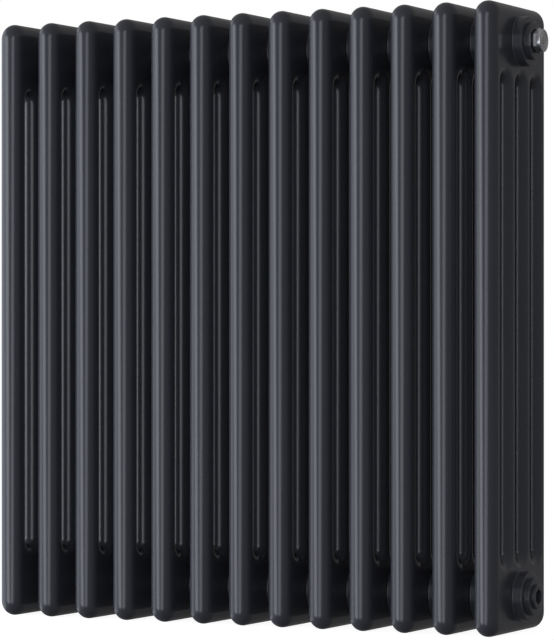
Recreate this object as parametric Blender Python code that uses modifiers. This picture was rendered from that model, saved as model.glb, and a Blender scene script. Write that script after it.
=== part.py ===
"""Steel column radiator with an air vent: 13 sections of 4 round tubes.

+Z is up, the front faces -Y and the sections stand side by side along X. The origin is at
the middle of the underside of the whole object. All sizes are in metres.
"""

import math

import bmesh
import bpy
from mathutils import Matrix, Vector

# Sections
SECTION_COUNT = 13
SECTION_PITCH = 0.0434
TUBE_ROWS = 4
ROW_PITCH = 0.0375
TUBE_DIAMETER = 0.0235
HEIGHT = 0.600
TUBE_SIDES = 12

# Heads: the flat-sided chambers at the top and bottom of a section
HEAD_HEIGHT = 0.0715
HEAD_CORNER_RADIUS = 0.0155
TUBE_STUB = 0.006
CORNER_STEPS = 3
ARCH_STEPS = 3

# Hubs: the round collars that join a head to the next one
HUB_INSET = 0.035
HUB_DIAMETER = 0.048
HUB_BORE = 0.030
HUB_SIDES = 16
HUB_BORE_SIDES = 12

# Threaded end sockets, one on each outer hub
SOCKET_DIAMETER = 0.036
SOCKET_WIDTH = 0.0050
SOCKET_SPIGOT_LENGTH = 0.009
SOCKET_CHAMFER = 0.0012
PORT_BORE = 0.0190
PORT_CHAMFER = 0.0005

# Air vent
VENT_HEXAGON_OVERLAP = 0.0013
VENT_HEXAGON_LENGTH = 0.0032
VENT_SPIGOT_LENGTH = 0.011
VENT_NECK_DIAMETER = 0.0120
COLLAR_DIAMETER = 0.0220
COLLAR_WIDTH = 0.0036
COLLAR_CHAMFER = 0.0008
COLLAR_GROOVE_DEPTH = 0.0012
OUTLET_HOLE = 0.0014
OUTLET_SETBACK = 0.0012
NEEDLE_BORE = 0.0064
NEEDLE_STANDOUT = 0.0007
NEEDLE_SLOT_WIDTH = 0.0011
NEEDLE_SLOT_DEPTH = 0.0009
NEEDLE_TIP_DIAMETER = 0.0024
SEAT_GAP = 0.0006
SEAT_DEPTH = 0.0060
WEEP_BORE = 0.0036

# Blank plug
PLUG_FLANGE_OVERLAP = 0.00255
PLUG_FLANGE_WIDTH = 0.0014
PLUG_SPIGOT_LENGTH = 0.011
PLUG_HEXAGON = 0.0130
PLUG_HEXAGON_DEPTH = 0.0080

# Seals
SEAL_THICKNESS = 0.0010
SEAL_WIDTH = 0.0012
O_RING_THICKNESS = 0.0010

# Gaps between pieces that touch, and the play of screwed and turning fits
JOINT_GAP = 0.0003
THREAD_CLEARANCE = 0.0003
RUNNING_CLEARANCE = 0.0001

TURNED_STEPS = 20
O_RING_SIDES = 6
CUTTER_OVERRUN = 0.002

# Sizes that follow
TUBE_RADIUS = TUBE_DIAMETER / 2
ROW_SPAN = ROW_PITCH * (TUBE_ROWS - 1)
ARCH_RADIUS = (ROW_PITCH - TUBE_DIAMETER) / 2
SPRING_DEPTH = HEAD_HEIGHT + ARCH_RADIUS
JOINT_DEPTH = SPRING_DEPTH + TUBE_STUB
FIRST_SECTION_OFFSET = -SECTION_PITCH * (SECTION_COUNT - 1) / 2
HUB_FACE = SECTION_PITCH * SECTION_COUNT / 2
SOCKET_FACE = HUB_FACE + SOCKET_WIDTH
THREAD_DIAMETER = PORT_BORE - 2 * THREAD_CLEARANCE
VENT_HEXAGON = THREAD_DIAMETER + 2 * VENT_HEXAGON_OVERLAP
PLUG_FLANGE_DIAMETER = THREAD_DIAMETER + 2 * PLUG_FLANGE_OVERLAP
NEEDLE_DIAMETER = NEEDLE_BORE - 2 * RUNNING_CLEARANCE
VENT_HEX_BACK = SEAL_THICKNESS + 2 * JOINT_GAP
VENT_HEX_FRONT = VENT_HEX_BACK + VENT_HEXAGON_LENGTH
COLLAR_BACK = VENT_HEX_FRONT + JOINT_GAP
COLLAR_FRONT = COLLAR_BACK + COLLAR_WIDTH
NECK_FRONT = COLLAR_FRONT - JOINT_GAP
NEEDLE_FRONT = NECK_FRONT + NEEDLE_STANDOUT
OUTLET_LEVEL = COLLAR_BACK + OUTLET_SETBACK
O_RING_LEVEL = NECK_FRONT - JOINT_GAP - O_RING_THICKNESS / 2
TUBE_TOP = HEIGHT - JOINT_DEPTH - JOINT_GAP
# The vent stands out further than the open sockets, so the sections sit left of the middle.
SECTIONS_SHIFT = -NEEDLE_FRONT / 2
BOTTOM_HUB_HEIGHT = HUB_INSET
TOP_HUB_HEIGHT = HEIGHT - HUB_INSET

PARTS_COLLECTION = "column_radiator"
CUTTERS_COLLECTION = "cutters"


def clear_scene():
    for obj in list(bpy.data.objects):
        bpy.data.objects.remove(obj, do_unlink=True)
    for name in (PARTS_COLLECTION, CUTTERS_COLLECTION):
        collection = bpy.data.collections.new(name)
        bpy.context.scene.collection.children.link(collection)


def make_material(name, colour, roughness, metallic):
    material = bpy.data.materials.new(name)
    material.use_nodes = True
    shader = material.node_tree.nodes["Principled BSDF"]
    shader.inputs["Base Color"].default_value = (*colour, 1.0)
    shader.inputs["Roughness"].default_value = roughness
    shader.inputs["Metallic"].default_value = metallic
    material.diffuse_color = (*colour, 1.0)
    return material


def add_object(name, mesh, collection=PARTS_COLLECTION):
    obj = bpy.data.objects.new(name, mesh)
    bpy.data.collections[collection].objects.link(obj)
    if collection == CUTTERS_COLLECTION:
        obj.hide_render = True
        obj.display_type = "WIRE"
    return obj


def shade_round(mesh, angle=math.radians(35)):
    mesh.shade_smooth()
    mesh.set_sharp_from_angle(angle=angle)


def baked_mesh(obj, name):
    """The mesh of an object with its modifiers applied, and the object removed."""
    bpy.context.view_layer.update()
    graph = bpy.context.evaluated_depsgraph_get()
    mesh = bpy.data.meshes.new_from_object(obj.evaluated_get(graph))
    mesh.name = name
    bpy.data.objects.remove(obj, do_unlink=True)
    return mesh


def add_boolean(obj, other, operation):
    modifier = obj.modifiers.new(f"{operation.lower()}_{other.name}", "BOOLEAN")
    modifier.operation = operation
    modifier.solver = "EXACT"
    modifier.object = other


def cylinder_mesh(name, diameter, length, sides, axis="Z"):
    """A closed cylinder or prism, centred on its origin, with its flats on the given diameter."""
    turn = {"X": Matrix.Rotation(math.pi / 2, 4, "Y"), "Y": Matrix.Rotation(math.pi / 2, 4, "X")}
    bm = bmesh.new()
    bmesh.ops.create_cone(
        bm,
        cap_ends=True,
        segments=sides,
        radius1=diameter / 2,
        radius2=diameter / 2,
        depth=length,
        matrix=turn.get(axis, Matrix.Identity(4)),
    )
    mesh = bpy.data.meshes.new(name)
    bm.to_mesh(mesh)
    bm.free()
    return mesh


def arc(centre, radius, start, end, steps):
    """Points on an arc from one angle to the other, both included."""
    points = []
    for step in range(steps + 1):
        angle = start + (end - start) * step / steps
        points.append((centre[0] + radius * math.cos(angle), centre[1] + radius * math.sin(angle)))
    return points


def head_outline(inset, leg_end):
    """The closed outline of a head and its legs in Y and depth, drawn in by an inset.

    Depth runs from the outer edge of the head, at 0, towards the tubes. The outline goes
    round the outer corners and back through the arches between the legs.
    """
    reach = TUBE_RADIUS - inset
    side = ROW_SPAN / 2 + reach
    corner = HEAD_CORNER_RADIUS - inset
    corner_y = side - corner
    corner_depth = inset + corner
    points = [(-side, leg_end)]
    points += arc((-corner_y, corner_depth), corner, math.pi, 1.5 * math.pi, CORNER_STEPS)
    points += arc((corner_y, corner_depth), corner, 1.5 * math.pi, 2 * math.pi, CORNER_STEPS)
    points.append((side, leg_end))
    for gap in range(TUBE_ROWS - 1, 0, -1):
        middle = (gap - TUBE_ROWS / 2) * ROW_PITCH
        radius = ROW_PITCH / 2 - reach
        points.append((middle + radius, leg_end))
        points += arc((middle, SPRING_DEPTH), radius, 2 * math.pi, math.pi, ARCH_STEPS)
        points.append((middle - radius, leg_end))
    return points


def head_loft(name, leg_end):
    """A head with its legs: outlines stacked across the thickness make full round edges."""
    step = 2 * math.pi / TUBE_SIDES
    corner_radius = TUBE_RADIUS / math.cos(step / 2)
    levels = [(index + 0.5) * step - math.pi / 2 for index in range(TUBE_SIDES // 2)]
    bm = bmesh.new()
    rings = []
    for angle in levels:
        inset = TUBE_RADIUS - corner_radius * math.cos(angle)
        across = corner_radius * math.sin(angle)
        ring = [bm.verts.new((across, y, depth)) for y, depth in head_outline(inset, leg_end)]
        rings.append(ring)
    for lower, upper in zip(rings, rings[1:]):
        for index in range(len(lower)):
            following = (index + 1) % len(lower)
            if is_leg_end(lower[index], lower[following], leg_end):
                continue
            bm.faces.new((lower[index], lower[following], upper[following], upper[index]))
    bm.faces.new(list(reversed(rings[0])))
    bm.faces.new(rings[-1])
    bmesh.ops.holes_fill(bm, edges=[edge for edge in bm.edges if edge.is_boundary])
    bmesh.ops.recalc_face_normals(bm, faces=bm.faces[:])
    mesh = bpy.data.meshes.new(name)
    bm.to_mesh(mesh)
    bm.free()
    return mesh


def is_leg_end(first, second, leg_end):
    return abs(first.co.z - leg_end) < 1e-6 and abs(second.co.z - leg_end) < 1e-6


def head_mesh(name, leg_end):
    """A head with its legs, its hub collars on both sides and the waterway through them."""
    blank = add_object(f"{name}_blank", head_loft(f"{name}_blank", leg_end))
    across = SECTION_PITCH - JOINT_GAP
    hub = add_object("hub", cylinder_mesh("hub", HUB_DIAMETER, across, HUB_SIDES, "X"), CUTTERS_COLLECTION)
    bore_length = SECTION_PITCH + CUTTER_OVERRUN
    bore = add_object(
        "bore", cylinder_mesh("bore", HUB_BORE, bore_length, HUB_BORE_SIDES, "X"), CUTTERS_COLLECTION
    )
    for cutter, operation in ((hub, "UNION"), (bore, "DIFFERENCE")):
        cutter.location.z = HUB_INSET
        add_boolean(blank, cutter, operation)
    mesh = baked_mesh(blank, name)
    for cutter in (hub, bore):
        bpy.data.objects.remove(cutter, do_unlink=True)
    shade_round(mesh)
    return mesh


def turned(name, profile, material, closed=False):
    """A turned piece about its own Z axis, from (radius, height) pairs down its outer side."""
    mesh = bpy.data.meshes.new(name)
    edges = [(index, index + 1) for index in range(len(profile) - 1)]
    if closed:
        edges.append((len(profile) - 1, 0))
    mesh.from_pydata([(radius, 0.0, height) for radius, height in profile], edges, [])
    mesh.materials.append(material)
    obj = add_object(name, mesh)
    screw = obj.modifiers.new("turn", "SCREW")
    screw.axis = "Z"
    screw.angle = 2 * math.pi
    screw.steps = TURNED_STEPS
    screw.render_steps = TURNED_STEPS
    screw.use_merge_vertices = True
    screw.merge_threshold = 0.00001
    screw.use_smooth_shade = True
    return obj


def at_right_end(obj, hub_height):
    """Turns a piece's own Z axis to +X and puts its origin on the right socket's face."""
    obj.location = (SECTIONS_SHIFT + SOCKET_FACE, 0.0, hub_height)
    obj.rotation_euler = (0.0, math.pi / 2, 0.0)


def at_left_end(obj, hub_height):
    """Turns a piece's own Z axis to -X and puts its origin on the left socket's face."""
    obj.location = (SECTIONS_SHIFT - SOCKET_FACE, 0.0, hub_height)
    obj.rotation_euler = (0.0, -math.pi / 2, 0.0)


def cut_from(obj, cutter):
    """Makes one object a cutter of another, placed in the other's own frame."""
    bpy.data.collections[PARTS_COLLECTION].objects.unlink(cutter)
    bpy.data.collections[CUTTERS_COLLECTION].objects.link(cutter)
    cutter.hide_render = True
    cutter.display_type = "WIRE"
    cutter.parent = obj
    add_boolean(obj, cutter, "DIFFERENCE")


def build_sections(paint):
    """All sections: a bottom head with its four tubes, and the top head that closes them."""
    lower = head_mesh("tube_section", TUBE_TOP)
    upper = head_mesh("top_head", JOINT_DEPTH)
    upper.transform(Matrix.Diagonal(Vector((1.0, 1.0, -1.0, 1.0))))
    upper.flip_normals()
    for mesh in (lower, upper):
        mesh.materials.append(paint)
    for index in range(SECTION_COUNT):
        x = SECTIONS_SHIFT + FIRST_SECTION_OFFSET + index * SECTION_PITCH
        section = add_object(f"tube_section_{index + 1:02d}", lower)
        section.location = (x, 0.0, 0.0)
        head = add_object(f"top_head_{index + 1:02d}", upper)
        head.location = (x, 0.0, HEIGHT)


def socket_profile():
    outer = SOCKET_DIAMETER / 2
    spigot = HUB_BORE / 2 * math.cos(math.pi / HUB_BORE_SIDES) - JOINT_GAP
    bore = PORT_BORE / 2
    back = JOINT_GAP - SOCKET_WIDTH
    return [
        (bore + PORT_CHAMFER, 0.0),
        (outer - SOCKET_CHAMFER, 0.0),
        (outer, -SOCKET_CHAMFER),
        (outer, back),
        (spigot, back),
        (spigot, back - SOCKET_SPIGOT_LENGTH),
        (bore, back - SOCKET_SPIGOT_LENGTH),
        (bore, -PORT_CHAMFER),
    ]


def build_sockets(paint):
    for height, level in ((TOP_HUB_HEIGHT, "top"), (BOTTOM_HUB_HEIGHT, "bottom")):
        for side, place in (("right", at_right_end), ("left", at_left_end)):
            socket = turned(f"socket_{level}_{side}", socket_profile(), paint, closed=True)
            place(socket, height)


def seal_ring(name, material, hub_height):
    """A flat ring that is pressed between a socket's face and the flange screwed into it."""
    inner = THREAD_DIAMETER / 2 + JOINT_GAP
    outer = inner + SEAL_WIDTH
    back = JOINT_GAP
    front = back + SEAL_THICKNESS
    profile = [(inner, front), (outer, front), (outer, back), (inner, back)]
    ring = turned(name, profile, material, closed=True)
    at_right_end(ring, hub_height)


def build_vent_body(chrome):
    """Screwed spigot, spanner hexagon with a corner up, and the neck that carries the collar."""
    spigot = THREAD_DIAMETER / 2
    neck = VENT_NECK_DIAMETER / 2
    spigot_end = VENT_HEX_BACK - VENT_SPIGOT_LENGTH
    hexagon_middle = (VENT_HEX_BACK + VENT_HEX_FRONT) / 2
    profile = [
        (0.0, NECK_FRONT),
        (neck, NECK_FRONT),
        (neck, hexagon_middle),
        (spigot, hexagon_middle),
        (spigot, spigot_end),
        (0.0, spigot_end),
    ]
    body = turned("vent_body", profile, chrome)
    corners = VENT_HEXAGON / math.cos(math.pi / 6)
    hexagon = add_object(
        "vent_hexagon",
        cylinder_mesh("vent_hexagon", corners, VENT_HEXAGON_LENGTH, 6),
        CUTTERS_COLLECTION,
    )
    hexagon.parent = body
    hexagon.location.z = hexagon_middle
    hexagon.rotation_euler.z = math.pi / 6
    add_boolean(body, hexagon, "UNION")

    bore = NEEDLE_BORE / 2
    weep = WEEP_BORE / 2
    seat = -SEAT_DEPTH
    cutter_profile = [
        (0.0, NECK_FRONT + CUTTER_OVERRUN),
        (bore, NECK_FRONT + CUTTER_OVERRUN),
        (bore, seat),
        (weep, seat - (bore - weep)),
        (weep, spigot_end - CUTTER_OVERRUN),
        (0.0, spigot_end - CUTTER_OVERRUN),
    ]
    cutter = turned("vent_bore", cutter_profile, chrome)
    cut_from(body, cutter)
    outlet = cylinder_mesh("neck_outlet", OUTLET_HOLE, VENT_NECK_DIAMETER, 12, "X")
    outlet_cutter = add_object("neck_outlet", outlet)
    outlet_cutter.location = (VENT_NECK_DIAMETER / 2, 0.0, OUTLET_LEVEL)
    cut_from(body, outlet_cutter)
    at_right_end(body, TOP_HUB_HEIGHT)


def build_outlet_collar(chrome):
    """The collar that turns on the vent's neck, with an inner groove and a hole that points down."""
    inner = VENT_NECK_DIAMETER / 2 + RUNNING_CLEARANCE
    outer = COLLAR_DIAMETER / 2
    groove = inner + COLLAR_GROOVE_DEPTH
    groove_top = OUTLET_LEVEL + OUTLET_HOLE / 2
    groove_bottom = OUTLET_LEVEL - OUTLET_HOLE / 2
    profile = [
        (inner, COLLAR_FRONT),
        (outer - COLLAR_CHAMFER, COLLAR_FRONT),
        (outer, COLLAR_FRONT - COLLAR_CHAMFER),
        (outer, COLLAR_BACK),
        (inner, COLLAR_BACK),
        (inner, groove_bottom),
        (groove, groove_bottom),
        (groove, groove_top),
        (inner, groove_top),
    ]
    collar = turned("vent_outlet_collar", profile, chrome, closed=True)
    outlet = cylinder_mesh("collar_outlet", OUTLET_HOLE, COLLAR_DIAMETER / 2, 12, "X")
    cutter = add_object("collar_outlet", outlet)
    cutter.location = ((groove + outer) / 2, 0.0, OUTLET_LEVEL)
    cut_from(collar, cutter)
    at_right_end(collar, TOP_HUB_HEIGHT)


def build_needle(brass):
    """The bleed needle: slotted front, O-ring groove, shank and conical tip, held off its seat."""
    shank = NEEDLE_DIAMETER / 2
    tip = NEEDLE_TIP_DIAMETER / 2
    groove = shank - O_RING_THICKNESS
    half_groove = O_RING_THICKNESS / 2 + JOINT_GAP / 2
    tip_start = SEAT_GAP - SEAT_DEPTH
    profile = [
        (0.0, NEEDLE_FRONT),
        (shank, NEEDLE_FRONT),
        (shank, O_RING_LEVEL + half_groove),
        (groove, O_RING_LEVEL + half_groove),
        (groove, O_RING_LEVEL - half_groove),
        (shank, O_RING_LEVEL - half_groove),
        (shank, tip_start),
        (tip, tip_start - (shank - tip)),
        (0.0, tip_start - (shank - tip)),
    ]
    needle = turned("vent_needle", profile, brass)
    slot_mesh = bpy.data.meshes.new("needle_slot")
    bm = bmesh.new()
    bmesh.ops.create_cube(bm, size=1.0)
    size = Vector((NEEDLE_SLOT_WIDTH, 2 * NEEDLE_DIAMETER, 2 * NEEDLE_SLOT_DEPTH))
    bmesh.ops.scale(bm, vec=size, verts=bm.verts[:])
    bm.to_mesh(slot_mesh)
    bm.free()
    slot = add_object("needle_slot", slot_mesh)
    slot.location.z = NEEDLE_FRONT
    cut_from(needle, slot)
    at_right_end(needle, TOP_HUB_HEIGHT)


def build_o_ring(rubber):
    """The O-ring in the needle's groove, kept clear of the groove and of the bore around it."""
    groove = NEEDLE_DIAMETER / 2 - O_RING_THICKNESS
    middle = (groove + NEEDLE_BORE / 2) / 2
    section = (NEEDLE_BORE / 2 - groove) / 2 - RUNNING_CLEARANCE
    profile = arc((middle, O_RING_LEVEL), section, math.pi / 2, -1.5 * math.pi, O_RING_SIDES)[:-1]
    ring = turned("needle_o_ring", profile, rubber, closed=True)
    at_right_end(ring, TOP_HUB_HEIGHT)


def build_plug(paint):
    """The blank plug of the bottom port: thin flange, spigot and a blind hexagon socket."""
    flange = PLUG_FLANGE_DIAMETER / 2
    spigot = THREAD_DIAMETER / 2
    back = SEAL_THICKNESS + 2 * JOINT_GAP
    front = back + PLUG_FLANGE_WIDTH
    edge = PLUG_FLANGE_WIDTH / 2
    profile = [
        (0.0, front),
        (flange - edge, front),
        (flange, front - edge),
        (flange, back),
        (spigot, back),
        (spigot, back - PLUG_SPIGOT_LENGTH),
        (0.0, back - PLUG_SPIGOT_LENGTH),
    ]
    plug = turned("blank_plug", profile, paint)
    corners = PLUG_HEXAGON / math.cos(math.pi / 6)
    hexagon = add_object("plug_hexagon", cylinder_mesh("plug_hexagon", corners, 2 * PLUG_HEXAGON_DEPTH, 6))
    hexagon.location.z = front
    cut_from(plug, hexagon)
    at_right_end(plug, BOTTOM_HUB_HEIGHT)


clear_scene()
ANTHRACITE = make_material("anthracite_powder_coat", (0.036, 0.039, 0.043), 0.42, 0.0)
CHROME = make_material("chrome_plate", (0.78, 0.78, 0.80), 0.10, 1.0)
BRASS = make_material("nickel_plated_brass", (0.66, 0.64, 0.58), 0.22, 1.0)
RUBBER = make_material("black_rubber", (0.012, 0.012, 0.012), 0.70, 0.0)

build_sections(ANTHRACITE)
build_sockets(ANTHRACITE)
build_vent_body(CHROME)
build_outlet_collar(CHROME)
build_needle(BRASS)
build_o_ring(RUBBER)
build_plug(ANTHRACITE)
seal_ring("vent_seal_ring", RUBBER, TOP_HUB_HEIGHT)
seal_ring("plug_seal_ring", RUBBER, BOTTOM_HUB_HEIGHT)
bpy.context.view_layer.update()
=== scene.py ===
"""Looks for the column radiator: fine heads and tubes, hub collars, fittings and finishes.

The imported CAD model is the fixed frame. Every piece takes its place from the frame's boxes.
"""

import math

import bmesh
import bpy
from mathutils import Matrix, Vector


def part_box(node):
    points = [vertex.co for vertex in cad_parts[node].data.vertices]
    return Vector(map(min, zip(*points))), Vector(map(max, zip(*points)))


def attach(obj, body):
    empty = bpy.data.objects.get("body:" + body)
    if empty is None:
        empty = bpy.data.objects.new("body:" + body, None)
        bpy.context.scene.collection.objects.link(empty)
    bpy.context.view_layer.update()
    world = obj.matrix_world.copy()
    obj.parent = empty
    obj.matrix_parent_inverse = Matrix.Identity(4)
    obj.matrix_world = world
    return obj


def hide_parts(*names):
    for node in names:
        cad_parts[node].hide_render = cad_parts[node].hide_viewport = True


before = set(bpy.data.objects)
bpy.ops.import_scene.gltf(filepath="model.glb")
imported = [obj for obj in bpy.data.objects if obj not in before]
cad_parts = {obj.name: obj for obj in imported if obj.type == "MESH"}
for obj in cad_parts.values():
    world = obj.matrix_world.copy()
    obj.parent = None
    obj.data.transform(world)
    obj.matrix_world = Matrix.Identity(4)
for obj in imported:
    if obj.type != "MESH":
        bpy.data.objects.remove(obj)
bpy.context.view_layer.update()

# ---------------------------------------------------------------- sizes, in metres

SECTION_COUNT = 13
TUBE_ROWS = 4
TUBE_RADIUS = 0.01175
HEAD_CORNER_RADIUS = 0.0155
HEAD_HEIGHT = 0.0715

HUB_RADIUS = 0.024
HUB_FILLET = 0.0011
HUB_SHOULDER = 0.0011
HUB_BORE_RADIUS = 0.015
WELD_RADIUS = 0.00055
WELD_SINK_SHARE = 0.75

SOCKET_EDGE = 0.0010
SOCKET_SPIGOT_GAP = 0.0006
SOCKET_SPIGOT_LENGTH = 0.0088
PORT_MOUTH_RADIUS = 0.0105
PORT_MOUTH_DEPTH = 0.0012
PORT_MOUTH_EDGE = 0.0002
PORT_CREST_RADIUS = 0.0094
THREAD_PITCH = 0.001814
THREAD_TURNS = 7.0
THREAD_DEPTH = 0.0010
THREAD_RIDGE_SHARE = 0.46
THREAD_HELIX_OFFSET = 0.0008
THREAD_START = 0.0009

PLUG_HEXAGON = 0.0130
PLUG_HEXAGON_DEPTH = 0.0072
PLUG_SPIGOT_LENGTH = 0.0105
PLUG_EDGE = 0.0007
HEXAGON_LEAD_IN = 0.0005
DRILL_POINT_SHARE = 0.16

VENT_FRONT_ROUNDING = 0.0006
VENT_BACK_ROUNDING = 0.00036
VENT_BLANK_MARGIN = 0.0002
VENT_SEAT_DEPTH = 0.0060
VENT_WEEP_RADIUS = 0.0018
VENT_NECK_RADIUS = 0.0060
VENT_NECK_EDGE = 0.0003
VENT_SPIGOT_CHAMFER = 0.0008
COLLAR_LIP = 0.0010
COLLAR_LIP_SETBACK = 0.0001
COLLAR_LIP_EDGE = 0.0003
COLLAR_LIP_SLOPE = 0.0004
COLLAR_DISH = 0.00045
COLLAR_RIM = 0.0021
COLLAR_RIM_SLOPE = 0.0005
COLLAR_RIM_ROUNDING = 0.0011
COLLAR_EDGE = 0.0003
COLLAR_GROOVE_DEPTH = 0.0012
OUTLET_SETBACK = 0.0012
OUTLET_RADIUS = 0.0007
OUTLET_DRILL = 0.02
OUTLET_DRILL_START = 0.0065
NEEDLE_EDGE = 0.0004
NEEDLE_TIP_RADIUS = 0.0012
NEEDLE_SLOT_WIDTH = 0.0011
NEEDLE_SLOT_DEPTH = 0.0009
O_RING_THICKNESS = 0.0010
O_RING_PLAY = 0.00015

SEAL_SETBACK = 0.0001
RUNNING_CLEARANCE = 0.0001
BORE_CLEARANCE = 0.0002
CUTTER_OVERRUN = 0.001
OVERLAP = 0.0004
JOINT_GAP = 0.0003

TUBE_LEVELS = 24
ARC_STEPS = 14
HUB_SIDES = 72
FILLET_STEPS = 7
SHOULDER_STEPS = 5
TURNED_STEPS = 64
EDGE_STEPS = 6
SEAL_STEPS = 8
COLLAR_STEPS = 7
NEEDLE_STEPS = 48
NEEDLE_EDGE_STEPS = 5
HOLE_SIDES = 24

DOUBLES_DISTANCE = 0.0000005
DEGENERATE_DISTANCE = 0.0000001

# ---------------------------------------------------------------- studio light and camera

ROOM_BELOW = 0.08
ROOM_ABOVE = 0.30
FLOOR_GLOW = 0.93
LIGHT_TINT = (0.94, 0.985, 1.06)
SOFT_BOX_DISTANCE = 2.6
SOFT_BOX_HEIGHT = 3.0
SOFT_BOX_LEVEL = 0.35
CAMERA_PLACE = (1.3825, -2.7525, 0.2833)
CAMERA_TURN = 26.56
CAMERA_LENS = 174.26
CAMERA_SHIFT = 0.0255

# ---------------------------------------------------------------- places from the frame


def node_box(node):
    low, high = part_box(node)
    return Vector(low), Vector(high)


def middle(node):
    low, high = node_box(node)
    return (low + high) / 2


SECTION_X = [middle(f"top_head_{index + 1:02d}").x for index in range(SECTION_COUNT)]
SECTION_PITCH = (SECTION_X[-1] - SECTION_X[0]) / (SECTION_COUNT - 1)
SECTION_HIGH = node_box("tube_section_01")[1]
TOP_LOW, TOP_HIGH = node_box("top_head_01")
HEIGHT = TOP_HIGH.z
JOINT_LEVEL = (SECTION_HIGH.z + TOP_LOW.z) / 2
ROW_SPAN = (TOP_HIGH.y - TOP_LOW.y) - 2 * TUBE_RADIUS
ROW_PITCH = ROW_SPAN / (TUBE_ROWS - 1)
SPRING_DEPTH = HEAD_HEIGHT + ROW_PITCH / 2 - TUBE_RADIUS
TOP_PORT = middle("socket_top_right").z
BOTTOM_PORT = middle("socket_bottom_right").z
HUB_DEPTH = BOTTOM_PORT
HUB_STANDOUT = SECTION_PITCH / 2 - TUBE_RADIUS
RIGHT_FACE = node_box("socket_top_right")[1].x
LEFT_FACE = node_box("socket_top_left")[0].x
SOCKET_RADIUS = (node_box("socket_top_right")[1].z - node_box("socket_top_right")[0].z) / 2
HUB_FACE = SECTION_X[-1] + SECTION_PITCH / 2
SOCKET_WIDTH = RIGHT_FACE - HUB_FACE

# ---------------------------------------------------------------- shader helpers


def new_material(name):
    material = bpy.data.materials.new(name)
    material.use_nodes = True
    tree = material.node_tree
    shader = tree.nodes["Principled BSDF"]
    return material, tree, shader


def node_group(name, inputs, outputs):
    """A shader node group with float or colour sockets: {name: default} for the inputs."""
    group = bpy.data.node_groups.new(name, "ShaderNodeTree")
    for socket, default in inputs.items():
        kind = "NodeSocketColor" if isinstance(default, tuple) else "NodeSocketFloat"
        made = group.interface.new_socket(socket, in_out="INPUT", socket_type=kind)
        made.default_value = default
    for socket, kind in outputs.items():
        group.interface.new_socket(socket, in_out="OUTPUT", socket_type=kind)
    return group, group.nodes.new("NodeGroupInput"), group.nodes.new("NodeGroupOutput")


def math_node(tree, operation, first, second):
    """A math node on two values, each a socket or a number."""
    node = tree.nodes.new("ShaderNodeMath")
    node.operation = operation
    for index, value in enumerate((first, second)):
        if isinstance(value, (int, float)):
            node.inputs[index].default_value = value
        else:
            tree.links.new(value, node.inputs[index])
    return node.outputs[0]


def noise(tree, vector, scale, detail, roughness):
    """Noise at a scale that is a socket or a number."""
    node = tree.nodes.new("ShaderNodeTexNoise")
    node.inputs["Detail"].default_value = detail
    node.inputs["Roughness"].default_value = roughness
    tree.links.new(vector, node.inputs["Vector"])
    if isinstance(scale, (int, float)):
        node.inputs["Scale"].default_value = scale
    else:
        tree.links.new(scale, node.inputs["Scale"])
    return node.outputs["Fac"]


def remap(tree, value, low, high):
    """A value from 0 to 1 spread between two limits."""
    node = tree.nodes.new("ShaderNodeMapRange")
    tree.links.new(value, node.inputs["Value"])
    tree.links.new(low, node.inputs["To Min"])
    tree.links.new(high, node.inputs["To Max"])
    return node.outputs["Result"]


def mix_colour(tree, factor, first, second):
    """The mix of two colours: a mix node's colours are its inputs 6 and 7 and its output 2."""
    node = tree.nodes.new("ShaderNodeMix")
    node.data_type = "RGBA"
    tree.links.new(factor, node.inputs["Factor"])
    tree.links.new(first, node.inputs[6])
    tree.links.new(second, node.inputs[7])
    return node.outputs[2]


def paint_grain_group():
    """Powder coat: fine orange peel, a slow drift of tone, and specks of texture."""
    group, given, result = node_group(
        "powder_coat_grain",
        {
            "Light": (0.05, 0.05, 0.05, 1.0),
            "Dark": (0.03, 0.03, 0.03, 1.0),
            "Peel Scale": 700.0,
            "Roughness Low": 0.3,
            "Roughness High": 0.4,
        },
        {"Colour": "NodeSocketColor", "Roughness": "NodeSocketFloat", "Height": "NodeSocketFloat"},
    )
    place = group.nodes.new("ShaderNodeTexCoord").outputs["Object"]
    drift = noise(group, place, 14.0, detail=4.0, roughness=0.6)
    peel = noise(group, place, given.outputs["Peel Scale"], detail=2.0, roughness=0.45)
    speck_scale = math_node(group, "MULTIPLY", given.outputs["Peel Scale"], 4.3)
    speck = noise(group, place, speck_scale, detail=1.0, roughness=0.5)
    soft_tone = math_node(group, "MULTIPLY", drift, 0.7)
    fine_tone = math_node(group, "MULTIPLY", speck, 0.3)
    tone = math_node(group, "ADD", soft_tone, fine_tone)
    colour = mix_colour(group, tone, given.outputs["Dark"], given.outputs["Light"])
    rough = remap(group, drift, given.outputs["Roughness Low"], given.outputs["Roughness High"])
    height = math_node(group, "ADD", peel, math_node(group, "MULTIPLY", speck, 0.22))
    group.links.new(colour, result.inputs["Colour"])
    group.links.new(rough, result.inputs["Roughness"])
    group.links.new(height, result.inputs["Height"])
    return group


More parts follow.
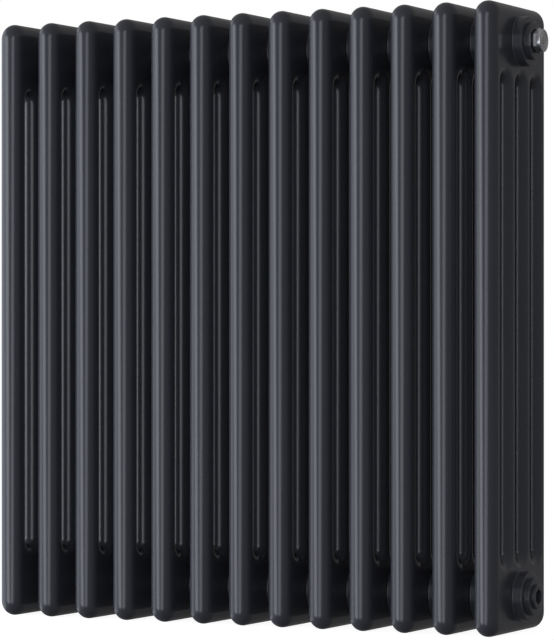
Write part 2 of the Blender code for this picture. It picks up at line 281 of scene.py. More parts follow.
def metal_wear_group():
    """Plated metal: smudges that dull the shine, fine turning rings and hairline scratches."""
    group, given, result = node_group(
        "plated_metal_wear",
        {
            "Clean": (0.8, 0.8, 0.8, 1.0),
            "Dull": (0.6, 0.6, 0.6, 1.0),
            "Ring Scale": 1200.0,
            "Roughness Low": 0.05,
            "Roughness High": 0.2,
        },
        {"Colour": "NodeSocketColor", "Roughness": "NodeSocketFloat", "Height": "NodeSocketFloat"},
    )
    place = group.nodes.new("ShaderNodeTexCoord").outputs["Object"]
    smudge = noise(group, place, 260.0, detail=5.0, roughness=0.65)
    stretched = group.nodes.new("ShaderNodeMapping")
    stretched.inputs["Scale"].default_value = (1.0, 0.05, 0.6)
    group.links.new(place, stretched.inputs["Vector"])
    along = stretched.outputs["Vector"]
    scratch = noise(group, along, given.outputs["Ring Scale"], detail=2.0, roughness=0.7)
    colour = mix_colour(group, smudge, given.outputs["Dull"], given.outputs["Clean"])
    rough = remap(group, smudge, given.outputs["Roughness High"], given.outputs["Roughness Low"])
    group.links.new(colour, result.inputs["Colour"])
    group.links.new(rough, result.inputs["Roughness"])
    group.links.new(scratch, result.inputs["Height"])
    return group


def connect_finish(tree, shader, finish, bump_distance, bump_strength):
    """Feeds a finish group's colour, roughness and height into a Principled shader."""
    bump = tree.nodes.new("ShaderNodeBump")
    bump.inputs["Distance"].default_value = bump_distance
    bump.inputs["Strength"].default_value = bump_strength
    tree.links.new(finish.outputs["Colour"], shader.inputs["Base Color"])
    tree.links.new(finish.outputs["Roughness"], shader.inputs["Roughness"])
    tree.links.new(finish.outputs["Height"], bump.inputs["Height"])
    tree.links.new(bump.outputs["Normal"], shader.inputs["Normal"])


def placed_group(tree, group, **values):
    node = tree.nodes.new("ShaderNodeGroup")
    node.node_tree = group
    for name, value in values.items():
        node.inputs[name.replace("_", " ")].default_value = value
    return node


def powder_coat(group):
    material, tree, shader = new_material("anthracite_powder_coat")
    finish = placed_group(
        tree,
        group,
        Light=(0.0350, 0.0358, 0.0435, 1.0),
        Dark=(0.0295, 0.0302, 0.0375, 1.0),
        Peel_Scale=620.0,
        Roughness_Low=0.20,
        Roughness_High=0.25,
    )
    shader.inputs["IOR"].default_value = 1.5
    connect_finish(tree, shader, finish, bump_distance=0.00004, bump_strength=0.25)
    return material


def chrome_plate(group):
    material, tree, shader = new_material("chrome_plate")
    finish = placed_group(
        tree,
        group,
        Clean=(0.86, 0.86, 0.88, 1.0),
        Dull=(0.44, 0.44, 0.47, 1.0),
        Ring_Scale=900.0,
        Roughness_Low=0.24,
        Roughness_High=0.36,
    )
    shader.inputs["Metallic"].default_value = 1.0
    connect_finish(tree, shader, finish, bump_distance=0.00002, bump_strength=0.10)
    return material


def nickel_brass(group):
    material, tree, shader = new_material("nickel_plated_brass")
    finish = placed_group(
        tree,
        group,
        Clean=(0.70, 0.67, 0.58, 1.0),
        Dull=(0.50, 0.47, 0.39, 1.0),
        Ring_Scale=1500.0,
        Roughness_Low=0.18,
        Roughness_High=0.32,
    )
    shader.inputs["Metallic"].default_value = 1.0
    connect_finish(tree, shader, finish, bump_distance=0.00003, bump_strength=0.25)
    return material


def bare_steel(group):
    material, tree, shader = new_material("cut_steel_thread")
    finish = placed_group(
        tree,
        group,
        Clean=(0.42, 0.41, 0.40, 1.0),
        Dull=(0.24, 0.23, 0.22, 1.0),
        Ring_Scale=1600.0,
        Roughness_Low=0.26,
        Roughness_High=0.42,
    )
    shader.inputs["Metallic"].default_value = 1.0
    connect_finish(tree, shader, finish, bump_distance=0.00003, bump_strength=0.3)
    return material


def seal_rubber(group):
    material, tree, shader = new_material("black_seal_rubber")
    finish = placed_group(
        tree,
        group,
        Light=(0.046, 0.046, 0.048, 1.0),
        Dark=(0.028, 0.028, 0.030, 1.0),
        Peel_Scale=2600.0,
        Roughness_Low=0.60,
        Roughness_High=0.78,
    )
    connect_finish(tree, shader, finish, bump_distance=0.00005, bump_strength=0.4)
    return material


GRAIN = paint_grain_group()
WEAR = metal_wear_group()
PAINT = powder_coat(GRAIN)
CHROME = chrome_plate(WEAR)
BRASS = nickel_brass(WEAR)
STEEL = bare_steel(WEAR)
RUBBER = seal_rubber(GRAIN)

# ---------------------------------------------------------------- mesh helpers


def arc(centre, radius, start, end, steps):
    """Points on an arc from one angle to the other, both included."""
    points = []
    for step in range(steps + 1):
        angle = start + (end - start) * step / steps
        points.append((centre[0] + radius * math.cos(angle), centre[1] + radius * math.sin(angle)))
    return points


def finished_mesh(bm, name, materials, sharp_angle=30.0):
    bmesh.ops.remove_doubles(bm, verts=bm.verts[:], dist=DOUBLES_DISTANCE)
    bmesh.ops.recalc_face_normals(bm, faces=bm.faces[:])
    mesh = bpy.data.meshes.new(name)
    bm.to_mesh(mesh)
    bm.free()
    for material in materials:
        mesh.materials.append(material)
    mesh.shade_smooth()
    mesh.set_sharp_from_angle(angle=math.radians(sharp_angle))
    return mesh


def new_object(name, data):
    obj = bpy.data.objects.new(name, data)
    bpy.context.scene.collection.objects.link(obj)
    return obj


def add_piece(name, mesh, body, slot, *nodes):
    piece = new_object(name, mesh)
    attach(piece, body)
    if nodes:
        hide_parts(*nodes)
    return piece


def turned(bm, profile, place, steps=TURNED_STEPS, closed=True):
    """Spins a (radius, height) profile about Z and places it with a matrix."""
    rings = []
    for radius, height in profile:
        if radius == 0.0:
            rings.append([bm.verts.new(place @ Vector((0.0, 0.0, height)))])
            continue
        ring = []
        for step in range(steps):
            angle = 2 * math.pi * step / steps
            point = Vector((radius * math.cos(angle), radius * math.sin(angle), height))
            ring.append(bm.verts.new(place @ point))
        rings.append(ring)
    pairs = list(zip(rings, rings[1:]))
    if closed:
        pairs.append((rings[-1], rings[0]))
    for first, second in pairs:
        if len(first) == 1 and len(second) == 1:
            continue
        for step in range(steps):
            following = (step + 1) % steps
            corners = [first[step % len(first)], second[step % len(second)]]
            if len(second) > 1:
                corners.append(second[following])
            if len(first) > 1:
                corners.append(first[following])
            bm.faces.new(corners)


def bridge(bm, first, second):
    """A band of faces between two closed rings with the same number of points."""
    for index in range(len(first)):
        following = (index + 1) % len(first)
        bm.faces.new((first[index], first[following], second[following], second[index]))


def outward(side, x, z):
    """A matrix that takes a piece's own +Z to +X (side 1) or -X (side -1), at a place."""
    return Matrix.Translation((x, 0.0, z)) @ Matrix.Rotation(side * math.pi / 2, 4, "Y")


# ---------------------------------------------------------------- heads and tubes


def head_outline(reach, leg_end):
    """Outline in Y and depth of a head and its legs, at a reach from their middle surface."""
    side = ROW_SPAN / 2 + reach
    edge = TUBE_RADIUS - reach
    corner = HEAD_CORNER_RADIUS - edge
    corner_y = side - corner
    corner_depth = edge + corner
    outer = [(-side, leg_end), (-side, SPRING_DEPTH)]
    outer += arc((-corner_y, corner_depth), corner, math.pi, 1.5 * math.pi, ARC_STEPS)
    outer += arc((corner_y, corner_depth), corner, 1.5 * math.pi, 2 * math.pi, ARC_STEPS)
    outer += [(side, SPRING_DEPTH), (side, leg_end)]
    chains = [outer]
    for gap in range(TUBE_ROWS - 1, 0, -1):
        across = (gap - TUBE_ROWS / 2) * ROW_PITCH
        radius = ROW_PITCH / 2 - reach
        arch = [(across + radius, leg_end)]
        arch += arc((across, SPRING_DEPTH), radius, 2 * math.pi, math.pi, ARC_STEPS)
        arch.append((across - radius, leg_end))
        chains.append(arch)
    return chains


def pressed_head(leg_end):
    """The full-round head with its legs: outlines stacked across the thickness."""
    bm = bmesh.new()
    step = math.pi / TUBE_LEVELS
    angles = [index * step - math.pi / 2 for index in range(TUBE_LEVELS + 1)]
    near_flat = math.radians(1.0)
    angles[1:1] = [angles[0] + near_flat]
    angles[-1:-1] = [angles[-1] - near_flat]
    levels = []
    for angle in angles:
        across = TUBE_RADIUS * math.sin(angle)
        chains = head_outline(TUBE_RADIUS * math.cos(angle), leg_end)
        levels.append(
            [[bm.verts.new((across, y, depth)) for y, depth in chain] for chain in chains]
        )
    for lower, upper in zip(levels, levels[1:]):
        for low_chain, high_chain in zip(lower, upper):
            for index in range(len(low_chain) - 1):
                corners = (
                    low_chain[index],
                    low_chain[index + 1],
                    high_chain[index + 1],
                    high_chain[index],
                )
                bm.faces.new(corners)
    bmesh.ops.remove_doubles(bm, verts=bm.verts[:], dist=DOUBLES_DISTANCE)
    bmesh.ops.dissolve_degenerate(bm, dist=DEGENERATE_DISTANCE, edges=bm.edges[:])
    loops = [edge for edge in bm.edges if edge.is_boundary]
    bmesh.ops.holes_fill(bm, edges=loops)
    return bm


def hub_surface(y, depth):
    """How far the head's side stands from its middle plane near the hub."""
    from_arch = math.hypot(y, depth - SPRING_DEPTH)
    drop = max(0.0, ROW_PITCH / 2 - from_arch)
    return math.sqrt(max(0.0, TUBE_RADIUS ** 2 - drop ** 2))


def hub_foot_point(direction, radius):
    """A point on the head's side, at a radius from the hub's axis."""
    y = direction.x * radius
    depth = HUB_DEPTH + direction.y * radius
    return Vector((hub_surface(y, depth), y, depth))


def hub_collar(bm, side):
    """A pressed collar that swells out of the head's side, to the joint with the next hub."""
    top = TUBE_RADIUS + HUB_STANDOUT
    rings = []
    for step in range(FILLET_STEPS + 1):
        share = step / FILLET_STEPS
        ring = []
        for index in range(HUB_SIDES):
            angle = 2 * math.pi * index / HUB_SIDES
            direction = Vector((math.sin(angle), math.cos(angle)))
            base = hub_foot_point(direction, HUB_RADIUS + HUB_FILLET)
            corner = hub_foot_point(direction, HUB_RADIUS)
            wall = corner + Vector((HUB_FILLET, 0.0, 0.0))
            point = base * (1 - share) ** 2 + corner * 2 * share * (1 - share) + wall * share ** 2
            ring.append(bm.verts.new((side * point.x, point.y, point.z)))
        rings.append(ring)
    profile = [(HUB_RADIUS, top - HUB_SHOULDER)]
    shoulder = (HUB_RADIUS - HUB_SHOULDER, top - HUB_SHOULDER)
    profile += arc(
        shoulder, HUB_SHOULDER, math.radians(15.0), math.radians(90.0), SHOULDER_STEPS
    )
    profile += [(HUB_BORE_RADIUS, top), (HUB_BORE_RADIUS, 0.0)]
    for radius, across in profile:
        ring = []
        for index in range(HUB_SIDES):
            angle = 2 * math.pi * index / HUB_SIDES
            y = radius * math.sin(angle)
            depth = HUB_DEPTH + radius * math.cos(angle)
            ring.append(bm.verts.new((side * across, y, depth)))
        rings.append(ring)
    for first, second in zip(rings, rings[1:]):
        bridge(bm, first, second)
    bmesh.ops.contextual_create(bm, geom=rings[0])
    bmesh.ops.contextual_create(bm, geom=rings[-1])


def head_with_collars(name, leg_end):
    bm = pressed_head(leg_end)
    hub_collar(bm, 1)
    hub_collar(bm, -1)
    return finished_mesh(bm, name, [PAINT], 40.0)


def build_sections():
    """One top head and one bottom head with its tubes for each section of the frame."""
    lower = head_with_collars("tube_section", JOINT_LEVEL)
    upper = head_with_collars("top_head", HEIGHT - JOINT_LEVEL)
    upper.transform(Matrix.Translation((0, 0, HEIGHT)) @ Matrix.Diagonal((1, 1, -1, 1)))
    upper.flip_normals()
    for index, x in enumerate(SECTION_X):
        for mesh, node in ((lower, "tube_section"), (upper, "top_head")):
            copy = mesh.copy()
            copy.transform(Matrix.Translation((x, 0, 0)))
            number = f"{index + 1:02d}"
            add_piece(f"{node}_{number}_steel", copy, "radiator", "powder_coat", f"{node}_{number}")


# ---------------------------------------------------------------- sockets, plug and seals


def build_socket(node, side, port):
    """A welded end socket with a softened edge and a bore for the thread."""
    bm = bmesh.new()
    place = outward(side, RIGHT_FACE if side > 0 else LEFT_FACE, port)
    outer = SOCKET_RADIUS
    back = -SOCKET_WIDTH
    spigot = HUB_BORE_RADIUS - SOCKET_SPIGOT_GAP
    spigot_end = back - SOCKET_SPIGOT_LENGTH
    root = PORT_CREST_RADIUS + THREAD_DEPTH
    edge = SOCKET_EDGE
    profile = arc((outer - edge, -edge), edge, math.pi / 2, 0.0, EDGE_STEPS)
    profile += [
        (outer, back),
        (spigot, back),
        (spigot, spigot_end),
        (root, spigot_end),
        (root, -PORT_MOUTH_DEPTH),
        (PORT_MOUTH_RADIUS + 2 * PORT_MOUTH_EDGE, -PORT_MOUTH_EDGE),
        (PORT_MOUTH_RADIUS + 3 * PORT_MOUTH_EDGE, 0.0),
    ]
    turned(bm, profile, place)
    mesh = finished_mesh(bm, f"{node}_steel", [PAINT])
    add_piece(f"{node}_steel", mesh, "radiator", "powder_coat", node)


def build_seal(node, port):
    """A seal ring with a bulged rim, under the head of the vent or the plug."""
    low, high = node_box(node)
    bm = bmesh.new()
    thickness = high.x - low.x
    outer = (high.z - low.z) / 2 - SEAL_SETBACK
    bulge = thickness / 2
    inner = PORT_CREST_RADIUS + RUNNING_CLEARANCE
    profile = arc((outer - bulge, bulge), bulge, -math.pi / 2, math.pi / 2, SEAL_STEPS)
    profile += [(inner, thickness), (inner, 0.0)]
    turned(bm, list(reversed(profile)), outward(1, low.x, port))
    mesh = finished_mesh(bm, f"{node}_rubber", [RUBBER])
    add_piece(f"{node}_rubber", mesh, "radiator", "seal_rubber", node)


def hexagon_ring(bm, across_flats, height, place):
    """Six corners at a height, first corner on the piece's own X, which points down."""
    radius = across_flats / 2 / math.cos(math.pi / 6)
    return [
        bm.verts.new(place @ Vector((radius * math.cos(a), radius * math.sin(a), height)))
        for a in (math.pi / 3 * index for index in range(6))
    ]


def cut_hexagon(piece, across_flats, depth, place, front):
    """Cuts a hexagon socket with a small lead-in chamfer, and takes the result as the mesh."""
    bm = bmesh.new()
    lead = HEXAGON_LEAD_IN
    rings = [
        hexagon_ring(bm, across_flats + 4 * lead, front + lead, place),
        hexagon_ring(bm, across_flats, front - lead, place),
        hexagon_ring(bm, across_flats, front - depth, place),
    ]
    for first, second in zip(rings, rings[1:]):
        bridge(bm, first, second)
    bm.faces.new(rings[0])
    tip_level = front - depth - across_flats * DRILL_POINT_SHARE
    tip = bm.verts.new(place @ Vector((0.0, 0.0, tip_level)))
    for index in range(6):
        bm.faces.new((rings[-1][index], rings[-1][(index + 1) % 6], tip))
    return cut_by(piece, new_object("hexagon_cutter", finished_mesh(bm, "hexagon_cutter", [])))


def cut_by(piece, cutter, operation="DIFFERENCE"):
    """Applies a Boolean with a cutter, which is then removed, and keeps the result as the mesh."""
    modifier = piece.modifiers.new("cut", "BOOLEAN")
    modifier.operation = operation
    modifier.solver = "EXACT"
    modifier.object = cutter
    bpy.context.view_layer.update()
    graph = bpy.context.evaluated_depsgraph_get()
    mesh = bpy.data.meshes.new_from_object(piece.evaluated_get(graph))
    piece.modifiers.clear()
    piece.data = mesh
    bpy.data.objects.remove(cutter, do_unlink=True)
    mesh.shade_smooth()
    mesh.set_sharp_from_angle(angle=math.radians(30.0))
    return piece


def build_plug():
    """The blank plug: rounded flange with a skirt over its seal, spigot and hexagon socket."""
    low, high = node_box("blank_plug")
    seal_low, seal_high = node_box("plug_seal_ring")
    flange = (high.z - low.z) / 2
    seal = (seal_high.z - seal_low.z) / 2
    front = high.x - RIGHT_FACE
    back = seal_high.x - RIGHT_FACE + JOINT_GAP
    spigot_end = back - PLUG_SPIGOT_LENGTH
    edge = PLUG_EDGE
    place = outward(1, RIGHT_FACE, BOTTOM_PORT)
    bm = bmesh.new()
    profile = [(0.0, front)]
    profile += arc((flange - edge, front - edge), edge, math.pi / 2, 0.0, EDGE_STEPS)
    profile += [
        (flange, JOINT_GAP),
        (seal + JOINT_GAP, JOINT_GAP),
        (seal + JOINT_GAP, back),
        (PORT_CREST_RADIUS, back),
        (PORT_CREST_RADIUS, spigot_end),
        (0.0, spigot_end),
    ]
    turned(bm, profile, place, closed=False)
    plug = new_object("blank_plug_steel", finished_mesh(bm, "blank_plug_steel", [PAINT]))
    cut_hexagon(plug, PLUG_HEXAGON, PLUG_HEXAGON_DEPTH, place, front)
    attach(plug, "radiator")
    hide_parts("blank_plug")


# ---------------------------------------------------------------- air vent


def vent_hexagon(flats, back, front, bore, place):
    """The vent's spanner hexagon: a turned blank with rounded corners, cut to flats and drilled."""
    across_corners = flats / math.cos(math.pi / 6)
    margin = VENT_BLANK_MARGIN
    blank = bmesh.new()
    profile = [
        (0.0, front + margin),
        (flats / 2 + margin, front + margin),
        (across_corners / 2 + 2 * margin, front - VENT_FRONT_ROUNDING),
        (across_corners / 2 + 2 * margin, back + VENT_BACK_ROUNDING),
        (flats / 2 + 2 * margin, back - margin),
        (0.0, back - margin),
    ]
    turned(blank, profile, place, closed=False)
    body = new_object("vent_body_chrome", finished_mesh(blank, "vent_body_chrome", [CHROME]))
    prism = bmesh.new()
    lower, upper = [hexagon_ring(prism, flats, height, place) for height in (back, front)]
    bridge(prism, lower, upper)
    prism.faces.new(lower)
    prism.faces.new(upper)
    prism_mesh = finished_mesh(prism, "vent_prism", [CHROME])
    cut_by(body, new_object("vent_prism", prism_mesh), "INTERSECT")
    drill = bmesh.new()
    drill_end, drill_start = back - CUTTER_OVERRUN, front + CUTTER_OVERRUN
    drill_profile = [(0.0, drill_end), (bore, drill_end), (bore, drill_start), (0.0, drill_start)]
    turned(drill, drill_profile, place, closed=False)
    return cut_by(body, new_object("vent_drill", finished_mesh(drill, "vent_drill", [])))


def build_vent_body():
    """Spanner hexagon with turned-off corners, neck, and screwed spigot with the needle's seat."""
    low, high = node_box("vent_body")
    collar_low = node_box("vent_outlet_collar")[0]
    seal_high = node_box("vent_seal_ring")[1]
    needle_low, needle_high = node_box("vent_needle")
    back = seal_high.x - RIGHT_FACE + JOINT_GAP
    front = collar_low.x - RIGHT_FACE - BORE_CLEARANCE
    neck_front = high.x - RIGHT_FACE
    spigot_end = low.x - RIGHT_FACE
    neck = VENT_NECK_RADIUS
    edge = VENT_NECK_EDGE
    bore = (needle_high.z - needle_low.z) / 2 + BORE_CLEARANCE
    place = outward(1, RIGHT_FACE, TOP_PORT)
    body = vent_hexagon(high.y - low.y, back, front, bore, place)
    neck_profile = [
        (bore + edge, neck_front),
        (neck - edge, neck_front),
        (neck, neck_front - edge),
        (neck, front - OVERLAP),
        (bore, front - OVERLAP),
        (bore, neck_front - edge),
    ]
    spigot_profile = [
        (bore, back + OVERLAP),
        (PORT_CREST_RADIUS, back + OVERLAP),
        (PORT_CREST_RADIUS, spigot_end + VENT_SPIGOT_CHAMFER),
        (PORT_CREST_RADIUS - VENT_SPIGOT_CHAMFER, spigot_end),
        (VENT_WEEP_RADIUS, spigot_end),
        (VENT_WEEP_RADIUS, VENT_WEEP_RADIUS - bore - VENT_SEAT_DEPTH),
        (bore, -VENT_SEAT_DEPTH),
    ]
    bm = bmesh.new()
    bm.from_mesh(body.data)
    turned(bm, neck_profile, place)
    turned(bm, spigot_profile, place)
    body.data = finished_mesh(bm, "vent_body_chrome", [CHROME])
    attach(body, "radiator")
    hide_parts("vent_body")


def build_outlet_collar():
    """The swivelling front disc: rounded rim, dished face and a small outlet hole below."""
    low, high = node_box("vent_outlet_collar")
    back = low.x - RIGHT_FACE
    front = high.x - RIGHT_FACE
    outer = (high.z - low.z) / 2
    inner = VENT_NECK_RADIUS + RUNNING_CLEARANCE
    groove = inner + COLLAR_GROOVE_DEPTH
    level = back + OUTLET_SETBACK
    place = outward(1, RIGHT_FACE, TOP_PORT)
    lip_front = front - COLLAR_LIP_SETBACK
    dish_level = front - COLLAR_DISH
    rim = COLLAR_RIM_ROUNDING
    bm = bmesh.new()
    profile = [
        (inner, lip_front - COLLAR_LIP_EDGE),
        (inner + COLLAR_LIP_EDGE, lip_front),
        (inner + COLLAR_LIP, lip_front),
        (inner + COLLAR_LIP + COLLAR_LIP_SLOPE, dish_level),
        (outer - COLLAR_RIM - COLLAR_RIM_SLOPE, dish_level),
        (outer - COLLAR_RIM, front),
    ]
    profile += arc((outer - rim, front - rim), rim, math.radians(80.0), 0.0, COLLAR_STEPS)
    profile += [
        (outer, back + COLLAR_EDGE),
        (outer - COLLAR_EDGE, back),
        (inner, back),
        (inner, level - OUTLET_RADIUS),
        (groove, level - OUTLET_RADIUS),
        (groove, level + OUTLET_RADIUS),
        (inner, level + OUTLET_RADIUS),
    ]
    turned(bm, profile, place)
    collar_mesh = finished_mesh(bm, "vent_outlet_collar_chrome", [CHROME], 25.0)
    collar = new_object("vent_outlet_collar_chrome", collar_mesh)
    hole = bmesh.new()
    sink = Matrix.Translation((0.0, 0.0, level)) @ Matrix.Rotation(math.pi / 2, 4, "Y")
    bmesh.ops.create_cone(
        hole,
        cap_ends=True,
        segments=HOLE_SIDES,
        radius1=OUTLET_RADIUS,
        radius2=OUTLET_RADIUS,
        depth=OUTLET_DRILL,
    )
    below = Matrix.Translation((0.0, 0.0, OUTLET_DRILL / 2 + OUTLET_DRILL_START))
    bmesh.ops.transform(hole, matrix=place @ sink @ below, verts=hole.verts[:])
    cut_by(collar, new_object("outlet_hole", finished_mesh(hole, "outlet_hole", [])))
    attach(collar, "outlet_collar")
    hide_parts("vent_outlet_collar")


def build_needle():
    """The bleed needle: slotted front, groove for the O-ring, shank and conical tip."""
    low, high = node_box("vent_needle")
    front = high.x - RIGHT_FACE
    back = low.x - RIGHT_FACE
    radius = (high.z - low.z) / 2
    place = outward(1, RIGHT_FACE, TOP_PORT)
    ring_level = middle("needle_o_ring").x - RIGHT_FACE
    half_groove = O_RING_THICKNESS / 2 + O_RING_PLAY
    groove = radius - O_RING_THICKNESS
    tip = NEEDLE_TIP_RADIUS
    edge = NEEDLE_EDGE
    bm = bmesh.new()
    profile = [(0.0, front)]
    profile += arc((radius - edge, front - edge), edge, math.pi / 2, 0.0, NEEDLE_EDGE_STEPS)
    profile += [
        (radius, ring_level + half_groove),
        (groove, ring_level + half_groove),
        (groove, ring_level - half_groove),
        (radius, ring_level - half_groove),
        (radius, back + radius - tip),
        (tip, back),
        (0.0, back),
    ]
    turned(bm, profile, place, closed=False, steps=NEEDLE_STEPS)
    needle = new_object("vent_needle_brass", finished_mesh(bm, "vent_needle_brass", [BRASS]))
    slot = bmesh.new()
    bmesh.ops.create_cube(slot, size=1.0)
    size = Matrix.Diagonal((NEEDLE_SLOT_WIDTH, 4 * radius, 2 * NEEDLE_SLOT_DEPTH, 1.0))
    at_front = Matrix.Translation((0, 0, front))
    bmesh.ops.transform(slot, matrix=place @ at_front @ size, verts=slot.verts[:])
    cut_by(needle, new_object("needle_slot", finished_mesh(slot, "needle_slot", [])))
    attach(needle, "needle")
    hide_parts("vent_needle")


# ---------------------------------------------------------------- details by Geometry Nodes


def geometry_tree(name, inputs):
    tree = bpy.data.node_groups.new(name, "GeometryNodeTree")
    tree.interface.new_socket("Geometry", in_out="INPUT", socket_type="NodeSocketGeometry")
    for socket, (kind, default) in inputs.items():
        made = tree.interface.new_socket(socket, in_out="INPUT", socket_type=kind)
        if default is not None:
            made.default_value = default
    tree.interface.new_socket("Geometry", in_out="OUTPUT", socket_type="NodeSocketGeometry")
    return tree, tree.nodes.new("NodeGroupInput"), tree.nodes.new("NodeGroupOutput")


def geometry_piece(name, tree, values, sharp_angle=40.0):
    """Runs a tree on an empty mesh and returns the result as a plain object."""
    obj = new_object(name, bpy.data.meshes.new(name))
    modifier = obj.modifiers.new("made", "NODES")
    modifier.node_group = tree
    for item in tree.interface.items_tree:
        if item.item_type == "SOCKET" and item.in_out == "INPUT" and item.name in values:
            modifier[item.identifier] = values[item.name]
    bpy.context.view_layer.update()
    graph = bpy.context.evaluated_depsgraph_get()
    mesh = bpy.data.meshes.new_from_object(obj.evaluated_get(graph))
    mesh.name = name
    obj.modifiers.clear()
    obj.data = mesh
    mesh.shade_smooth()
    mesh.set_sharp_from_angle(angle=math.radians(sharp_angle))
    return obj


def weld_row_tree():
    """Rings of weld in a row along X, one at each joint between two hubs."""
    tree, given, result = geometry_tree(
        "hub_weld_row",
        {
            "Count": ("NodeSocketInt", SECTION_COUNT - 1),
            "Start": ("NodeSocketVector", (0.0, 0.0, 0.0)),
            "Pitch": ("NodeSocketVector", (0.04, 0.0, 0.0)),
            "Ring Radius": ("NodeSocketFloat", 0.024),
            "Bead Radius": ("NodeSocketFloat", 0.0005),
            "Material": ("NodeSocketMaterial", None),
        },
    )
    line = tree.nodes.new("GeometryNodeMeshLine")
    ring = tree.nodes.new("GeometryNodeCurvePrimitiveCircle")
    bead = tree.nodes.new("GeometryNodeCurvePrimitiveCircle")
    sweep = tree.nodes.new("GeometryNodeCurveToMesh")
    turn = tree.nodes.new("GeometryNodeTransform")
    place = tree.nodes.new("GeometryNodeInstanceOnPoints")
    realize = tree.nodes.new("GeometryNodeRealizeInstances")
    paint = tree.nodes.new("GeometryNodeSetMaterial")
    ring.inputs["Resolution"].default_value = 64
    bead.inputs["Resolution"].default_value = 10
    turn.inputs["Rotation"].default_value = (0.0, math.pi / 2, 0.0)
    links = tree.links
    links.new(given.outputs["Count"], line.inputs["Count"])
    links.new(given.outputs["Start"], line.inputs["Start Location"])
    links.new(given.outputs["Pitch"], line.inputs["Offset"])
    links.new(given.outputs["Ring Radius"], ring.inputs["Radius"])
    links.new(given.outputs["Bead Radius"], bead.inputs["Radius"])
    links.new(ring.outputs["Curve"], sweep.inputs["Curve"])
    links.new(bead.outputs["Curve"], sweep.inputs["Profile Curve"])
    links.new(sweep.outputs["Mesh"], turn.inputs["Geometry"])
    links.new(line.outputs["Mesh"], place.inputs["Points"])
    links.new(turn.outputs["Geometry"], place.inputs["Instance"])
    links.new(place.outputs["Instances"], realize.inputs["Geometry"])
    links.new(realize.outputs["Geometry"], paint.inputs["Geometry"])
    links.new(given.outputs["Material"], paint.inputs["Material"])
    links.new(paint.outputs["Geometry"], result.inputs["Geometry"])
    return tree


def thread_tree():
    """A screw thread: a ridge swept along a helix about Z."""
    tree, given, result = geometry_tree(
        "port_thread",
        {
            "Radius": ("NodeSocketFloat", 0.0105),
            "Turns": ("NodeSocketFloat", 6.0),
            "Length": ("NodeSocketFloat", 0.011),
            "Ridge": ("NodeSocketFloat", 0.0009),
            "Material": ("NodeSocketMaterial", None),
        },
    )
    helix = tree.nodes.new("GeometryNodeCurveSpiral")
    ridge = tree.nodes.new("GeometryNodeCurvePrimitiveCircle")
    sweep = tree.nodes.new("GeometryNodeCurveToMesh")
    realize = tree.nodes.new("GeometryNodeRealizeInstances")
    paint = tree.nodes.new("GeometryNodeSetMaterial")
    helix.inputs["Resolution"].default_value = 40
    ridge.inputs["Resolution"].default_value = 4
    sweep.inputs["Fill Caps"].default_value = True
    links = tree.links
    links.new(given.outputs["Turns"], helix.inputs["Rotations"])
    links.new(given.outputs["Radius"], helix.inputs["Start Radius"])
    links.new(given.outputs["Radius"], helix.inputs["End Radius"])
    links.new(given.outputs["Length"], helix.inputs["Height"])
    links.new(given.outputs["Ridge"], ridge.inputs["Radius"])
    links.new(helix.outputs["Curve"], sweep.inputs["Curve"])
    links.new(ridge.outputs["Curve"], sweep.inputs["Profile Curve"])
    links.new(sweep.outputs["Mesh"], realize.inputs["Geometry"])
    links.new(realize.outputs["Geometry"], paint.inputs["Geometry"])
    links.new(given.outputs["Material"], paint.inputs["Material"])
    links.new(paint.outputs["Geometry"], result.inputs["Geometry"])
    return tree


def build_welds():
    tree = weld_row_tree()
    for level, port in (("top", TOP_PORT), ("bottom", BOTTOM_PORT)):
        name = f"hub_welds_{level}"
        values = {
            "Start": (SECTION_X[0] + SECTION_PITCH / 2, 0.0, port),
            "Pitch": (SECTION_PITCH, 0.0, 0.0),
            "Ring Radius": HUB_RADIUS - WELD_RADIUS * WELD_SINK_SHARE,
            "Bead Radius": WELD_RADIUS,
            "Material": PAINT,
        }
        welds = geometry_piece(name, tree, values)
        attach(welds, "radiator")


def build_threads():
    tree = thread_tree()
    length = THREAD_TURNS * THREAD_PITCH
    for level, port in (("top", TOP_PORT), ("bottom", BOTTOM_PORT)):
        name = f"port_thread_{level}_left"
        values = {
            "Radius": PORT_CREST_RADIUS + THREAD_HELIX_OFFSET,
            "Turns": THREAD_TURNS,
            "Length": length,
            "Ridge": THREAD_PITCH * THREAD_RIDGE_SHARE,
            "Material": STEEL,
        }
        thread = geometry_piece(name, tree, values, 25.0)
        sunk = Matrix.Translation((0, 0, -length - THREAD_START))
        thread.data.transform(outward(-1, LEFT_FACE, port) @ sunk)
        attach(thread, "radiator")


# ---------------------------------------------------------------- studio


def soft_strip(name, start, end, radiance):
    """A tall soft box filling the azimuths from start to end, counted from the front's normal."""
    middle_angle = math.radians((start + end) / 2)
    width = 2 * SOFT_BOX_DISTANCE * math.tan(math.radians(end - start) / 2)
    light = bpy.data.lights.new(name, "AREA")
    light.shape = "RECTANGLE"
    light.size = width
    light.size_y = SOFT_BOX_HEIGHT
    light.energy = radiance * math.pi * width * SOFT_BOX_HEIGHT
    light.color = LIGHT_TINT
    lamp = new_object(name, light)
    across = SOFT_BOX_DISTANCE * math.sin(middle_angle)
    along = SOFT_BOX_DISTANCE * math.cos(middle_angle)
    lamp.location = (across, -along, SOFT_BOX_LEVEL)
    aim = Vector((0.0, 0.0, SOFT_BOX_LEVEL)) - lamp.location
    lamp.rotation_euler = aim.to_track_quat("-Z", "Z").to_euler()
    return lamp


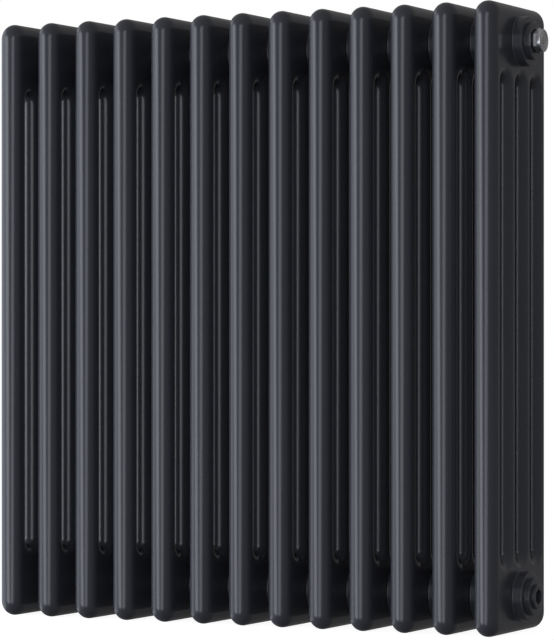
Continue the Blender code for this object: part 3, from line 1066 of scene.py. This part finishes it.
def build_floor():
    """A pale floor that only the camera sees."""
    floor_mesh = bpy.data.meshes.new("studio_floor")
    bm = bmesh.new()
    bmesh.ops.create_grid(bm, x_segments=1, y_segments=1, size=30.0)
    bm.to_mesh(floor_mesh)
    bm.free()
    floor = new_object("studio_floor", floor_mesh)
    material, _, shader = new_material("pale_floor")
    shader.inputs["Base Color"].default_value = (0.30, 0.30, 0.30, 1.0)
    shader.inputs["Roughness"].default_value = 0.9
    shader.inputs["Emission Color"].default_value = (1.0, 1.0, 1.0, 1.0)
    shader.inputs["Emission Strength"].default_value = FLOOR_GLOW
    floor_mesh.materials.append(material)
    floor.visible_glossy = False
    floor.visible_diffuse = False
    floor.visible_shadow = False


def build_world():
    """White to the camera; a dim room, lighter above than below, to every other ray."""
    world = bpy.data.worlds.new("studio")
    world.use_nodes = True
    bpy.context.scene.world = world
    nodes = world.node_tree.nodes
    background = nodes["Background"]
    links = world.node_tree.links
    path = nodes.new("ShaderNodeLightPath")
    direction = nodes.new("ShaderNodeTexCoord")
    split = nodes.new("ShaderNodeSeparateXYZ")
    room = nodes.new("ShaderNodeMapRange")
    level = nodes.new("ShaderNodeMapRange")
    room.inputs["From Min"].default_value = -1.0
    room.inputs["To Min"].default_value = ROOM_BELOW
    room.inputs["To Max"].default_value = ROOM_ABOVE
    level.inputs["To Max"].default_value = 1.0
    links.new(direction.outputs["Generated"], split.inputs["Vector"])
    links.new(split.outputs["Z"], room.inputs["Value"])
    links.new(room.outputs["Result"], level.inputs["To Min"])
    links.new(path.outputs["Is Camera Ray"], level.inputs["Value"])
    links.new(level.outputs["Result"], background.inputs["Strength"])
    background.inputs["Color"].default_value = (1.0, 1.0, 1.0, 1.0)


def build_lights():
    """Tall soft boxes; the wash and the fill light the paint without a reflection."""
    soft_strip("key_box", -46.0, -22.0, 3.1)
    soft_strip("key_spill", -120.0, -46.0, 0.96)
    soft_strip("front_strip", 6.0, 30.0, 1.9)
    wash = soft_strip("side_wash", -90.0, -50.0, 4.5)
    fill = soft_strip("right_fill", 40.0, 80.0, 0.4)
    for lamp in (wash, fill):
        lamp.visible_glossy = False


def build_camera():
    camera = bpy.data.cameras.new("camera")
    camera.lens = CAMERA_LENS
    camera.sensor_width = 36.0
    camera.shift_y = CAMERA_SHIFT
    viewpoint = new_object("camera", camera)
    viewpoint.location = CAMERA_PLACE
    viewpoint.rotation_euler = (math.radians(90.0), 0.0, math.radians(CAMERA_TURN))
    bpy.context.scene.camera = viewpoint


build_sections()
for LEVEL, PORT in (("top", TOP_PORT), ("bottom", BOTTOM_PORT)):
    build_socket(f"socket_{LEVEL}_right", 1, PORT)
    build_socket(f"socket_{LEVEL}_left", -1, PORT)
build_seal("vent_seal_ring", TOP_PORT)
build_seal("plug_seal_ring", BOTTOM_PORT)
build_plug()
build_vent_body()
build_outlet_collar()
build_needle()
build_welds()
build_threads()
O_RING_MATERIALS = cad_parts["needle_o_ring"].data.materials
O_RING_MATERIALS.clear()
O_RING_MATERIALS.append(RUBBER)
build_floor()
build_world()
build_lights()
build_camera()
bpy.context.scene.view_settings.view_transform = "Standard"
